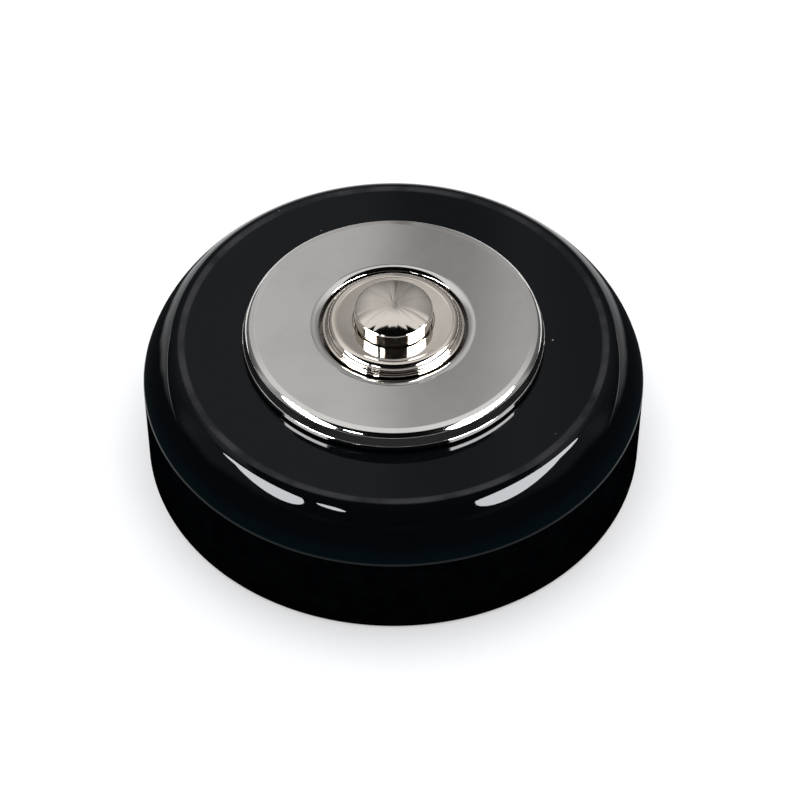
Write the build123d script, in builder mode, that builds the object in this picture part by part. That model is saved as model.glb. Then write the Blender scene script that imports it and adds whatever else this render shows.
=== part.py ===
from build123d import *
import math
import os

# Base: a thick round block of glazed ceramic, hollow behind, standing on its back at z = 0
base_radius = 42.5
side_draft = 0.35
base_height = 25.0
rim_height = 16.5
shoulder_width = 5.5
shoulder_radius = 18.0
top_edge_round = 2.5
rim_round = 0.45
foot_round = 0.8
cavity_radius = 32.0
ceiling_height = 15.0
cavity_round = 2.0

# Wall fixing: two countersunk holes through pillars, hidden under the cover plate
wall_hole_spacing = 36.0
wall_hole_radius = 2.25
wall_head_radius = 4.2
countersink_angle = 90.0
pillar_radius = 5.5

# Cover plate: turned brass, hollow underneath, with a hub round the middle hole
plate_radius = 25.45
plate_rise = 3.85
plate_gap = 0.6
plate_step = 0.4
plate_step_height = 1.5
bevel_width = 1.05
bevel_drop = 0.11
edge_width = 0.6
edge_drop = 0.62
edge_crown_radius = 4.0
plate_edge_round = 0.25
plate_skin = 1.5
plate_rim_wall = 2.1
lip_width = 1.4
lip_drop = 0.24
lip_round = 0.15
hub_margin = 0.4
seat_depth = 1.5

# Gasket under the rim of the plate
gasket_inset = 0.75
gasket_width = 1.5

# Collar: flange sunk flush with the plate, upright neck, crowned rim and a nearly flat land, on a threaded barrel
collar_flange_radius = 11.95
collar_groove = 0.6
collar_flange_sink = 0.15
collar_edge_round = 0.15
collar_rim_radius = 11.2
collar_rise = 1.3
collar_rim_round = 0.35
crown_drop = 0.08
land_radius = 9.6
land_dish = 0.04
land_thickness = 1.2
barrel_radius = 8.9
barrel_wall = 1.25
barrel_chamfer = 0.5
thread_slack = 0.03
bore_slack = 0.35

# Push button: slightly domed head, flange under the land, spring boss and stem
head_radius = 6.6
head_stand = 2.72
head_dome = 0.7
head_edge_round = 0.3
button_travel = 1.5
running_clearance = 0.08
button_flange_height = 1.4
boss_radius = 4.2
boss_height = 2.6
stem_radius = 1.75
stem_clearance = 0.05

# Captive hexagon nut, half sunk in a pocket in the ceiling of the base
nut_flats = 24.0
nut_height = 4.0
nut_pocket = 2.0
nut_slack = 0.15
nut_chamfer = 0.4
nut_sides = 6
nut_corner_angle = 30.0
nut_turn = 30.0
barrel_past_nut = 0.6

# Guide bush at the lower end of the barrel, slotted for a screwdriver
bush_height = 4.0
bush_setback = 0.4
bush_slot_width = 1.6
bush_slot_depth = 1.0

# Return spring
spring_wire_radius = 0.4
spring_mean_radius = 5.5
spring_turns = 5.0

# Insulating cap on the stem
tip_radius = 2.9
tip_length = 2.6
tip_socket = 1.4
tip_round = 0.8
tip_clearance = 0.4

# Contact bar behind the base, hung from the ceiling on two legs
bar_width = 14.0
bar_half_length = 24.5
bar_thickness = 3.2
bar_bottom = 3.0
bar_corner_round = 2.0
leg_length = 9.0
leg_offset = 20.0
leg_round = 1.0

# Countersunk machine screws that hold the bar
block_screw_radius = 1.5
block_head_radius = 2.7
block_screw_engagement = 7.0
block_screw_sink = 0.1
block_hole_slack = 0.2
slot_width = 0.8
slot_depth = 0.8

# Switch: leaf, strip, silver tips
leaf_width = 6.0
leaf_thickness = 0.3
leaf_reach = 4.5
leaf_bend_start = 6.8
leaf_bend_end = 3.8
strip_thickness = 0.5
strip_reach = 1.4
contact_offset = 2.6
leaf_tip_gap = 0.05
silver_radius = 1.2
silver_spare = 0.05
fixed_silver_height = 0.6

# Terminals
terminal_offset = 10.8
tab_margin = 1.0
post_radius = 2.4
post_head_radius = 3.4
post_head_height = 0.9
post_stand = 0.3
terminal_screw_radius = 1.5
terminal_screw_length = 4.0
terminal_head_radius = 3.0
terminal_head_height = 1.6
terminal_head_round = 0.6
washer_radius = 3.6
washer_height = 0.5
washer_slack = 0.12

# Levels and fits that follow from the sizes above
foot_radius = base_radius - side_draft
top_radius = base_radius - shoulder_width
top_level = base_height
plate_under = top_level + plate_gap
plate_level = top_level + plate_rise
step_level = top_level + plate_step_height
plate_body_radius = plate_radius - plate_step
bevel_outer_radius = plate_body_radius - edge_width
bevel_radius = bevel_outer_radius - bevel_width
bevel_level = plate_level - bevel_drop
edge_level = bevel_level - edge_drop
seat_level = plate_level - seat_depth
seat_radius = collar_flange_radius + collar_groove
lip_radius = seat_radius + lip_width
hub_radius = lip_radius + hub_margin
plate_hole_radius = barrel_radius + bore_slack
hollow_radius = plate_radius - plate_rim_wall
hollow_level = plate_level - plate_skin

flange_level = plate_level - collar_flange_sink
land_level = plate_level + collar_rise
crown_radius = collar_rim_radius - collar_rim_round
crown_level = land_level - crown_drop
land_hole_radius = head_radius + running_clearance
land_hole_level = land_level - land_dish
land_under = land_hole_level - land_thickness

pocket_level = ceiling_height + nut_pocket
nut_under = pocket_level - nut_height
nut_corner_rise = nut_height * math.tan(math.radians(nut_corner_angle))
barrel_end = nut_under - barrel_past_nut
bush_under = barrel_end + bush_setback
bush_level = bush_under + bush_height
barrel_bore_radius = barrel_radius - barrel_wall
bush_radius = barrel_bore_radius - thread_slack

button_flange_radius = barrel_bore_radius - running_clearance
button_flange_under = land_under - button_flange_height
head_level = land_hole_level + head_stand
dome_level = head_level + head_dome
boss_under = button_flange_under - boss_height
tip_level = bush_under - tip_clearance
tip_under = tip_level - tip_length
stem_end = tip_level - tip_socket

bar_level = bar_bottom + bar_thickness
leaf_level = tip_under - leaf_tip_gap
leaf_under = leaf_level - leaf_thickness
strip_level = bar_level + strip_thickness
fixed_silver_level = strip_level + fixed_silver_height
moving_silver_under = fixed_silver_level + button_travel + silver_spare
post_under = bar_bottom - post_stand
washer_under = post_under - washer_height
terminal_head_under = washer_under - terminal_head_height

os.makedirs("parts", exist_ok=True)

# Base
with BuildPart() as base:
    with BuildSketch(Plane.XZ):
        with BuildLine():
            Line((0, 0), (foot_radius, 0))
            Line((foot_radius, 0), (base_radius, rim_height))
            RadiusArc((base_radius, rim_height), (top_radius, top_level), -shoulder_radius)
            Line((top_radius, top_level), (0, top_level))
            Line((0, top_level), (0, 0))
        make_face()
    revolve(axis=Axis.Z)
    circles = base.edges().filter_by(GeomType.CIRCLE).group_by(Axis.Z)
    top_edge = circles[-1]
    rim_edge = circles[1]
    foot_edge = circles[0]
    fillet(top_edge, top_edge_round)
    fillet(rim_edge, rim_round)
    fillet(foot_edge, foot_round)
    with BuildSketch(Plane.XY):
        Circle(cavity_radius)
        with GridLocations(wall_hole_spacing, 0, 2, 1):
            Circle(pillar_radius, mode=Mode.SUBTRACT)
    extrude(amount=ceiling_height, mode=Mode.SUBTRACT)
    ceiling_edges = base.edges().filter_by(GeomType.CIRCLE).filter_by(
        lambda edge: abs(edge.center().Z - ceiling_height) < foot_round
        and abs(edge.radius - cavity_radius) < foot_round
    )
    fillet(ceiling_edges, cavity_round)
    with BuildSketch(Plane.XY.offset(ceiling_height)):
        RegularPolygon(nut_flats / 2 + nut_slack, nut_sides, major_radius=False, rotation=nut_turn)
    extrude(amount=nut_pocket, mode=Mode.SUBTRACT)
    with Locations((0, 0, top_level)):
        Hole(plate_hole_radius)
        with GridLocations(wall_hole_spacing, 0, 2, 1):
            CounterSinkHole(wall_hole_radius, wall_head_radius, counter_sink_angle=countersink_angle)
        with GridLocations(0, 2 * leg_offset, 1, 2):
            CounterSinkHole(
                block_screw_radius + block_hole_slack,
                block_head_radius + block_hole_slack,
                counter_sink_angle=countersink_angle,
            )
base.part.label = "base"
export_step(base.part, "parts/base.step")

# Gasket
with BuildPart() as plate_gasket:
    with BuildSketch(Plane.XY.offset(top_level)):
        Circle(plate_radius - gasket_inset)
        Circle(plate_radius - gasket_inset - gasket_width, mode=Mode.SUBTRACT)
    extrude(amount=plate_gap)
plate_gasket.part.label = "plate_gasket"
export_step(plate_gasket.part, "parts/plate_gasket.step")

# Cover plate
with BuildPart() as cover_plate:
    with BuildSketch(Plane.XZ):
        with BuildLine():
            Polyline(
                (plate_hole_radius, top_level),
                (hub_radius, top_level),
                (hub_radius, hollow_level),
                (hollow_radius, hollow_level),
                (hollow_radius, plate_under),
                (plate_radius, plate_under),
                (plate_radius, step_level),
                (plate_body_radius, step_level),
                (plate_body_radius, edge_level),
            )
            RadiusArc((plate_body_radius, edge_level), (bevel_outer_radius, bevel_level), -edge_crown_radius)
            Polyline(
                (bevel_outer_radius, bevel_level),
                (bevel_radius, plate_level),
                (lip_radius, plate_level),
            )
            TangentArc((lip_radius, plate_level), (seat_radius, plate_level - lip_drop), tangent=(-1, 0))
            Polyline(
                (seat_radius, plate_level - lip_drop),
                (seat_radius, seat_level),
                (plate_hole_radius, seat_level),
                (plate_hole_radius, top_level),
            )
        make_face()
    revolve(axis=Axis.Z)
    lip_edge = cover_plate.edges().filter_by(GeomType.CIRCLE).filter_by(
        lambda edge: abs(edge.center().Z - plate_level + lip_drop) < lip_drop / 2
        and abs(edge.radius - seat_radius) < lip_width / 2
    )
    fillet(lip_edge, lip_round)
    plate_edge = cover_plate.edges().filter_by(GeomType.CIRCLE).filter_by(
        lambda edge: abs(edge.center().Z - edge_level) < edge_drop / 2
        and abs(edge.radius - plate_body_radius) < edge_width / 2
    )
    fillet(plate_edge, plate_edge_round)
cover_plate.part.label = "cover_plate"
export_step(cover_plate.part, "parts/cover_plate.step")

# Collar
with BuildPart() as collar:
    with BuildSketch(Plane.XZ):
        with BuildLine():
            Polyline(
                (barrel_bore_radius, land_under),
                (barrel_bore_radius, barrel_end),
                (barrel_radius, barrel_end),
                (barrel_radius, seat_level),
                (collar_flange_radius, seat_level),
                (collar_flange_radius, flange_level),
                (collar_rim_radius, flange_level),
                (collar_rim_radius, crown_level - collar_rim_round),
            )
            RadiusArc(
                (collar_rim_radius, crown_level - collar_rim_round),
                (crown_radius, crown_level),
                -collar_rim_round,
            )
            TangentArc((land_radius, land_level), (crown_radius, crown_level), tangent=(1, 0))
            Polyline(
                (land_radius, land_level),
                (land_hole_radius, land_hole_level),
                (land_hole_radius, land_under),
                (barrel_bore_radius, land_under),
            )
        make_face()
    revolve(axis=Axis.Z)
    flange_edge = collar.edges().filter_by(GeomType.CIRCLE).filter_by(
        lambda edge: abs(edge.center().Z - flange_level) < collar_edge_round
        and abs(edge.radius - collar_flange_radius) < collar_edge_round
    )
    fillet(flange_edge, collar_edge_round)
    barrel_edge = collar.edges().filter_by(GeomType.CIRCLE).filter_by(
        lambda edge: abs(edge.center().Z - barrel_end) < collar_edge_round
        and abs(edge.radius - barrel_radius) < collar_edge_round
    )
    chamfer(barrel_edge, barrel_chamfer)
collar.part.label = "collar"
export_step(collar.part, "parts/collar.step")

# Push button
with BuildPart() as push_button:
    with BuildSketch(Plane.XZ):
        with BuildLine():
            Polyline(
                (0, stem_end),
                (stem_radius, stem_end),
                (stem_radius, boss_under),
                (boss_radius, boss_under),
                (boss_radius, button_flange_under),
                (button_flange_radius, button_flange_under),
                (button_flange_radius, land_under),
                (head_radius, land_under),
                (head_radius, head_level),
            )
            TangentArc((0, dome_level), (head_radius, head_level), tangent=(1, 0))
            Line((0, dome_level), (0, stem_end))
        make_face()
    revolve(axis=Axis.Z)
    head_edge = push_button.edges().filter_by(GeomType.CIRCLE).filter_by(
        lambda edge: abs(edge.radius - head_radius) < head_edge_round
        and edge.center().Z > head_level - head_edge_round
    )
    fillet(head_edge, head_edge_round)
push_button.part.label = "push_button"
export_step(push_button.part, "parts/push_button.step")

# Return spring, wound with open coils between the bush and the flange of the push
spring_rise = button_flange_under - bush_level - 2 * spring_wire_radius
with BuildPart() as return_spring:
    with BuildLine():
        coil = Helix(
            spring_rise / spring_turns,
            spring_rise,
            spring_mean_radius,
            center=(0, 0, bush_level + spring_wire_radius),
        )
    with BuildSketch(Plane(origin=coil @ 0, z_dir=coil % 0)):
        Circle(spring_wire_radius)
    sweep(path=coil, is_frenet=True)
return_spring.part.label = "return_spring"
export_step(return_spring.part, "parts/return_spring.step")

# Guide bush
with BuildPart() as guide_bush:
    with BuildSketch(Plane.XY.offset(bush_under)):
        Circle(bush_radius)
        Circle(stem_radius + stem_clearance, mode=Mode.SUBTRACT)
    extrude(amount=bush_height)
    with BuildSketch(Plane.XY.offset(bush_under)):
        Rectangle(2 * barrel_radius, bush_slot_width)
    extrude(amount=bush_slot_depth, mode=Mode.SUBTRACT)
guide_bush.part.label = "guide_bush"
export_step(guide_bush.part, "parts/guide_bush.step")

# Stem tip
with BuildPart() as stem_tip:
    with BuildSketch(Plane.XY.offset(tip_under)):
        Circle(tip_radius)
    extrude(amount=tip_length)
    fillet(stem_tip.edges().group_by(Axis.Z)[0], tip_round)
    with BuildSketch(Plane.XY.offset(stem_end)):
        Circle(stem_radius + thread_slack)
    extrude(amount=tip_socket, mode=Mode.SUBTRACT)
stem_tip.part.label = "stem_tip"
export_step(stem_tip.part, "parts/stem_tip.step")

# Captive nut
with BuildPart() as captive_nut:
    with BuildSketch(Plane.XY.offset(nut_under)):
        RegularPolygon(nut_flats / 2, nut_sides, major_radius=False, rotation=nut_turn)
    extrude(amount=nut_height)
    with BuildSketch(Plane.XZ):
        with BuildLine():
            Polyline(
                (nut_flats / 2, nut_under),
                (nut_flats / 2 + nut_height, nut_under),
                (nut_flats / 2 + nut_height, nut_under + nut_corner_rise),
                close=True,
            )
        make_face()
    revolve(axis=Axis.Z, mode=Mode.SUBTRACT)
    with Locations((0, 0, pocket_level)):
        Hole(barrel_radius + thread_slack)
    bore_edges = captive_nut.edges().filter_by(GeomType.CIRCLE).filter_by(
        lambda edge: abs(edge.radius - barrel_radius) < nut_slack
    )
    chamfer(bore_edges, nut_chamfer)
captive_nut.part.label = "captive_nut"
export_step(captive_nut.part, "parts/captive_nut.step")

# Contact bar
with BuildPart() as contact_block:
    with BuildSketch(Plane.XY.offset(bar_bottom)):
        RectangleRounded(bar_width, 2 * bar_half_length, bar_corner_round)
    extrude(amount=bar_thickness)
    with BuildSketch(Plane.XY.offset(bar_level)):
        with GridLocations(0, 2 * leg_offset, 1, 2):
            RectangleRounded(bar_width, leg_length, leg_round)
    extrude(amount=ceiling_height - bar_level)
    with Locations((0, 0, bar_level)):
        with GridLocations(0, 2 * terminal_offset, 1, 2):
            Hole(post_radius + thread_slack)
    with Locations((0, 0, ceiling_height)):
        with GridLocations(0, 2 * leg_offset, 1, 2):
            Hole(block_screw_radius + thread_slack, depth=block_screw_engagement + block_hole_slack)
contact_block.part.label = "contact_block"
export_step(contact_block.part, "parts/contact_block.step")

# Block screws
screw_head_level = top_level - block_screw_sink
screw_head_height = block_head_radius - block_screw_radius
with BuildPart() as block_screws:
    with GridLocations(0, 2 * leg_offset, 1, 2):
        with Locations((0, 0, ceiling_height - block_screw_engagement)):
            Cylinder(
                block_screw_radius,
                screw_head_level - ceiling_height + block_screw_engagement,
                align=(Align.CENTER, Align.CENTER, Align.MIN),
            )
        with Locations((0, 0, screw_head_level - screw_head_height)):
            Cone(
                block_screw_radius,
                block_head_radius,
                screw_head_height,
                align=(Align.CENTER, Align.CENTER, Align.MIN),
            )
        with Locations((0, 0, screw_head_level)):
            Box(
                2 * block_head_radius,
                slot_width,
                slot_depth,
                align=(Align.CENTER, Align.CENTER, Align.MAX),
                mode=Mode.SUBTRACT,
            )
block_screws.part.label = "block_screws"
export_step(block_screws.part, "parts/block_screws.step")

# Moving contact: a leaf riveted down at one end, cranked up and running under the stem
tab_radius = post_head_radius + tab_margin
with BuildPart() as moving_contact:
    with BuildSketch(Plane.YZ):
        with BuildLine():
            Polyline(
                (-terminal_offset - tab_radius, bar_level),
                (-leaf_bend_start, bar_level),
                (-leaf_bend_end, leaf_under),
                (leaf_reach, leaf_under),
                (leaf_reach, leaf_level),
                (-leaf_bend_end - leaf_thickness / 2, leaf_level),
                (-leaf_bend_start - leaf_thickness / 2, bar_level + leaf_thickness),
                (-terminal_offset - tab_radius, bar_level + leaf_thickness),
                close=True,
            )
        make_face()
    extrude(amount=leaf_width / 2, both=True)
    with Locations((0, -terminal_offset, bar_level + leaf_thickness)):
        Hole(post_radius + thread_slack)
    with Locations((0, contact_offset, leaf_level)):
        Hole(silver_radius / 2)
moving_contact.part.label = "moving_contact"
export_step(moving_contact.part, "parts/moving_contact.step")

# Silver tip of the leaf, with its riveted shank
with BuildPart() as moving_tip:
    with BuildSketch(Plane.XY.offset(moving_silver_under)):
        with Locations((0, contact_offset)):
            Circle(silver_radius)
    extrude(amount=leaf_under - moving_silver_under)
    with BuildSketch(Plane.XY.offset(leaf_under)):
        with Locations((0, contact_offset)):
            Circle(silver_radius / 2 - thread_slack)
    extrude(amount=leaf_thickness)
moving_tip.part.label = "moving_tip"
export_step(moving_tip.part, "parts/moving_tip.step")

# Fixed contact
with BuildPart() as fixed_contact:
    with BuildSketch(Plane.XY.offset(bar_level)):
        with Locations((0, (terminal_offset + tab_radius + strip_reach) / 2)):
            Rectangle(leaf_width, terminal_offset + tab_radius - strip_reach)
    extrude(amount=strip_thickness)
    with Locations((0, terminal_offset, strip_level)):
        Hole(post_radius + thread_slack)
fixed_contact.part.label = "fixed_contact"
export_step(fixed_contact.part, "parts/fixed_contact.step")

# Silver tip of the strip
with BuildPart() as fixed_tip:
    with BuildSketch(Plane.XY.offset(strip_level)):
        with Locations((0, contact_offset)):
            Circle(silver_radius)
    extrude(amount=fixed_silver_height)
fixed_tip.part.label = "fixed_tip"
export_step(fixed_tip.part, "parts/fixed_tip.step")

# Terminal posts: one holds the leaf, the other the thicker strip
with BuildPart() as terminal_posts:
    with Locations((0, 0, post_under)):
        with GridLocations(0, 2 * terminal_offset, 1, 2):
            Cylinder(post_radius, bar_level - post_under, align=(Align.CENTER, Align.CENTER, Align.MIN))
    with Locations((0, -terminal_offset, bar_level)):
        Cylinder(post_radius, leaf_thickness, align=(Align.CENTER, Align.CENTER, Align.MIN))
    with Locations((0, terminal_offset, bar_level)):
        Cylinder(post_radius, strip_thickness, align=(Align.CENTER, Align.CENTER, Align.MIN))
    with Locations(
        (0, -terminal_offset, bar_level + leaf_thickness),
        (0, terminal_offset, strip_level),
    ):
        Cylinder(post_head_radius, post_head_height, align=(Align.CENTER, Align.CENTER, Align.MIN))
    post_edges = terminal_posts.edges().filter_by(GeomType.CIRCLE).filter_by(
        lambda edge: abs(edge.radius - post_head_radius) < tab_margin / 2
        and edge.center().Z > strip_level + post_head_height / 2
    )
    fillet(post_edges, post_head_height / 2)
    with Locations((0, 0, post_under)):
        with GridLocations(0, 2 * terminal_offset, 1, 2):
            Cylinder(
                terminal_screw_radius + thread_slack,
                terminal_screw_length,
                align=(Align.CENTER, Align.CENTER, Align.MIN),
                mode=Mode.SUBTRACT,
            )
terminal_posts.part.label = "terminal_posts"
export_step(terminal_posts.part, "parts/terminal_posts.step")

# Terminal washers
with BuildPart() as terminal_washers:
    with BuildSketch(Plane.XY.offset(washer_under)):
        with GridLocations(0, 2 * terminal_offset, 1, 2):
            Circle(washer_radius)
            Circle(terminal_screw_radius + washer_slack, mode=Mode.SUBTRACT)
    extrude(amount=washer_height)
terminal_washers.part.label = "terminal_washers"
export_step(terminal_washers.part, "parts/terminal_washers.step")

# Terminal screws, heads toward the wall
with BuildPart() as terminal_screws:
    with BuildSketch(Plane.XY.offset(terminal_head_under)):
        with GridLocations(0, 2 * terminal_offset, 1, 2):
            Circle(terminal_head_radius)
    extrude(amount=terminal_head_height)
    fillet(terminal_screws.edges().group_by(Axis.Z)[0], terminal_head_round)
    with BuildSketch(Plane.XY.offset(washer_under)):
        with GridLocations(0, 2 * terminal_offset, 1, 2):
            Circle(terminal_screw_radius)
    extrude(amount=washer_height + terminal_screw_length - washer_slack)
    with BuildSketch(Plane.XY.offset(terminal_head_under)):
        with GridLocations(0, 2 * terminal_offset, 1, 2):
            Rectangle(2 * terminal_head_radius, slot_width)
    extrude(amount=slot_depth, mode=Mode.SUBTRACT)
terminal_screws.part.label = "terminal_screws"
export_step(terminal_screws.part, "parts/terminal_screws.step")
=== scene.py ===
import math
import bmesh
import bpy
from mathutils import Matrix, Vector


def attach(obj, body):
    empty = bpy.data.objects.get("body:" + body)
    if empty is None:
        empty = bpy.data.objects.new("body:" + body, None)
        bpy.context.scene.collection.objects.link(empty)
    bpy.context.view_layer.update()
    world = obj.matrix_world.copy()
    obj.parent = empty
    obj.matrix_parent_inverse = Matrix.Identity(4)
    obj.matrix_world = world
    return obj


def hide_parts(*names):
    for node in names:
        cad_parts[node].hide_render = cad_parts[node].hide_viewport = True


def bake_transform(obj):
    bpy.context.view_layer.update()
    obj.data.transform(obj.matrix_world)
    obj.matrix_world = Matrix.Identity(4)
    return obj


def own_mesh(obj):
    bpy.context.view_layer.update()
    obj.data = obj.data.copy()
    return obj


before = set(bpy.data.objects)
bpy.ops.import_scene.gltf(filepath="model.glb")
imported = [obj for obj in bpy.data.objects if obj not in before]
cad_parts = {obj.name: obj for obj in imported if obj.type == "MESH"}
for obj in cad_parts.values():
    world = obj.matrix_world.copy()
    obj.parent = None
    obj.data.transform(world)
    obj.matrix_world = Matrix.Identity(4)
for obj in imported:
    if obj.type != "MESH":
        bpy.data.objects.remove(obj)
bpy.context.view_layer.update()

mm = 0.001

# Base: a thick round block of stoneware, turned, and dipped in a glossy black glaze that runs thin towards
# the rim; there a dark teal reflection is painted into its colour. Below the rim the side is left matt. It is
# hollow behind, with two pillars for the wall screws and a hexagon pocket that keeps the nut of the collar from
# turning.
base_radius = 42.5 * mm
foot_radius = 42.15 * mm
base_height = 25.0 * mm
rim_height = 16.5 * mm
top_radius = 37.0 * mm
shoulder_corner = (40.995 * mm, 21.555 * mm)
cavity_radius = 32.0 * mm
ceiling_height = 15.0 * mm
bore_radius = 9.25 * mm
pillar_offset = 18.0 * mm
pillar_radius = 5.5 * mm
wall_hole_radius = 2.25 * mm
wall_head_radius = 4.2 * mm
bar_screw_offset = 20.0 * mm
bar_screw_hole_radius = 1.7 * mm
bar_screw_head_radius = 2.9 * mm
clear = 1.0 * mm
pocket_flats = 24.3 * mm
pocket_depth = 2.0 * mm
glaze_black = (0.0016, 0.0021, 0.0027, 1)
painted_teal_reflection = (0.0017, 0.0045, 0.0058, 1)
painted_edge_sheen = (0.034, 0.034, 0.037, 1)
glaze_dust = (0.16, 0.15, 0.14, 1)
side_black = (0.0006, 0.0008, 0.0012, 1)
side_grey = (0.0016, 0.0019, 0.0022, 1)


class Shade:
    """The output of a node, so that shader maths reads as plain sums."""

    def __init__(self, tree, socket):
        self.tree = tree
        self.socket = socket

    def node(self, kind, settings=None, sockets=None, output=0):
        node = self.tree.nodes.new("ShaderNode" + kind)
        for name, value in (settings or {}).items():
            if name == "stops":
                for stop, (place, shade) in enumerate(value):
                    element = node.color_ramp.elements[stop] if stop < 2 else node.color_ramp.elements.new(place)
                    element.position = place
                    element.color = (shade, shade, shade, 1)
            else:
                setattr(node, name, value)
        for name, value in (sockets or {}).items():
            if isinstance(value, Shade):
                self.tree.links.new(value.socket, node.inputs[name])
            else:
                node.inputs[name].default_value = value
        return Shade(self.tree, node.outputs[output])

    def math(self, operation, *others):
        return self.node("Math", {"operation": operation}, dict(enumerate((self, *others))))

    def __add__(self, other):
        return self.math("ADD", other)

    def __sub__(self, other):
        return self.math("SUBTRACT", other)

    def __rsub__(self, other):
        return self.node("Math", {"operation": "SUBTRACT"}, {0: other, 1: self})

    def __mul__(self, other):
        return self.math("MULTIPLY", other)

    def __truediv__(self, other):
        return self.math("DIVIDE", other)

    __radd__ = __add__
    __rmul__ = __mul__

    def ease(self, low, high):
        """0 at low, 1 at high and a soft step between, for low and high in either order."""
        return self.node(
            "MapRange",
            {"interpolation_type": "SMOOTHSTEP"},
            {"Value": self, "From Min": low, "From Max": high},
        )

    def blend(self, first, second):
        """From the first colour to the second as this value goes from 0 to 1."""
        return self.node("Mix", {"data_type": "RGBA"}, {0: self, 6: first, 7: second}, output=2)

    def split(self):
        """The three parts of a place."""
        parts = self.node("SeparateXYZ", None, {"Vector": self}).socket.node.outputs
        return [Shade(self.tree, part) for part in parts]

    def from_axis(self):
        """The three parts of a place, and its distance from the z axis."""
        x, y, z = self.split()
        return x, y, z, (x * x + y * y).math("SQRT")

    def noise(self, per_metre, detail=2.0, roughness=0.5):
        return self.node(
            "TexNoise", None, {"Vector": self, "Scale": per_metre, "Detail": detail, "Roughness": roughness}
        )

    def bump(self):
        """Takes this value as a height in metres."""
        return self.node("Bump", None, {"Height": self, "Strength": 1.0, "Distance": 1.0})

    def feed(self, shader, name):
        self.tree.links.new(self.socket, shader.inputs[name])


def finish(name, **fixed):
    """A new material, its shader with the fixed values set, and the place on the piece."""
    material = bpy.data.materials.new(name)
    material.use_nodes = True
    tree = material.node_tree
    shader = tree.nodes["Principled BSDF"]
    for socket, value in fixed.items():
        shader.inputs[socket.replace("_", " ")].default_value = value
    place = Shade(tree, tree.nodes.new("ShaderNodeTexCoord").outputs["Object"])
    return material, shader, place


def turned(outline, steps=256, fineness=10):
    """A shape turned about the z axis from corners of radius, height and round.
    The outline runs from axis to axis, or closes on itself where it starts clear of the axis.
    Long straight runs get a ring of corners close to each end, so that they shade flat."""
    shape = bmesh.new()
    corners = [shape.verts.new((radius, 0, height)) for radius, height, _ in outline]
    chain = corners if outline[0][0] == 0 else corners + corners[:1]
    for near, far in zip(chain, chain[1:]):
        shape.edges.new((near, far))
    cuts = []
    for corner, (_, _, radius) in zip(corners, outline):
        if radius:
            sides = [edge.other_vert(corner).co - corner.co for edge in corner.link_edges]
            cuts.append((corner, radius / math.tan(sides[0].angle(sides[1]) / 2), radius))
    for corner, cut, radius in cuts:
        steps_in = max(3, round(fineness * min(1.0, radius / mm)))
        bmesh.ops.bevel(
            shape, geom=[corner], offset=cut, segments=steps_in, profile=0.5, affect="VERTICES", material=-1
        )
    long_run, ring_offset = 0.5 * mm, 0.02 * mm
    for edge in [edge for edge in shape.edges if edge.calc_length() > long_run]:
        near, far = edge.verts
        share = ring_offset / edge.calc_length()
        support = bmesh.utils.edge_split(edge, near, share)[1]
        rest = next(part for part in support.link_edges if far in part.verts)
        bmesh.utils.edge_split(rest, far, share)
    bmesh.ops.spin(
        shape,
        geom=shape.verts[:] + shape.edges[:],
        cent=(0, 0, 0),
        axis=(0, 0, 1),
        angle=math.tau,
        steps=steps,
        use_merge=True,
    )
    bmesh.ops.remove_doubles(shape, verts=shape.verts, dist=0.0001 * mm)
    bmesh.ops.recalc_face_normals(shape, faces=shape.faces)
    return shape


def moved(shape, x, y):
    """The shape, moved sideways."""
    bmesh.ops.translate(shape, verts=shape.verts, vec=(x, y, 0))
    return shape


def piece(name, shapes, *finishes):
    """One object from one or more shapes, with smooth faces and crisp corners."""
    mesh = bpy.data.meshes.new(name)
    whole = bmesh.new()
    for shape in shapes:
        shape.to_mesh(mesh)
        shape.free()
        whole.from_mesh(mesh)
    whole.to_mesh(mesh)
    whole.free()
    for material in finishes:
        mesh.materials.append(material)
    thing = bpy.data.objects.new(name, mesh)
    bpy.context.collection.objects.link(thing)
    crisp(thing)
    return thing


def crisp(thing):
    """Smooth faces, with sharp edges kept sharp."""
    thing.data.shade_smooth()
    thing.data.set_sharp_from_angle(angle=math.radians(28))


def carve(thing, cutter_shapes, operation="DIFFERENCE"):
    """Cuts the shapes out of a piece, or joins them to it."""
    cutter = piece(thing.name + "_cutter", cutter_shapes)
    boolean = thing.modifiers.new("carve", "BOOLEAN")
    boolean.operation = operation
    boolean.solver = "EXACT"
    boolean.object = cutter
    carved = thing.evaluated_get(bpy.context.evaluated_depsgraph_get())
    whole, rough = bpy.data.meshes.new_from_object(carved), thing.data
    thing.modifiers.clear()
    thing.data = whole
    bpy.data.meshes.remove(rough)
    bpy.data.meshes.remove(cutter.data)
    crisp(thing)


def fitted(thing, node, body="housing"):
    """Hides the solid that the piece stands for, and hangs the piece on what it moves with."""
    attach(thing, body)
    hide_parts(node)


def hexagon(flats, low, high):
    """A prism with flats towards the left and right."""
    shape = bmesh.new()
    bmesh.ops.create_cone(
        shape,
        cap_ends=True,
        segments=6,
        radius1=flats / math.sqrt(3),
        radius2=flats / math.sqrt(3),
        depth=high - low,
        matrix=Matrix.Translation((0, 0, (low + high) / 2)),
    )
    return shape


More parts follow.
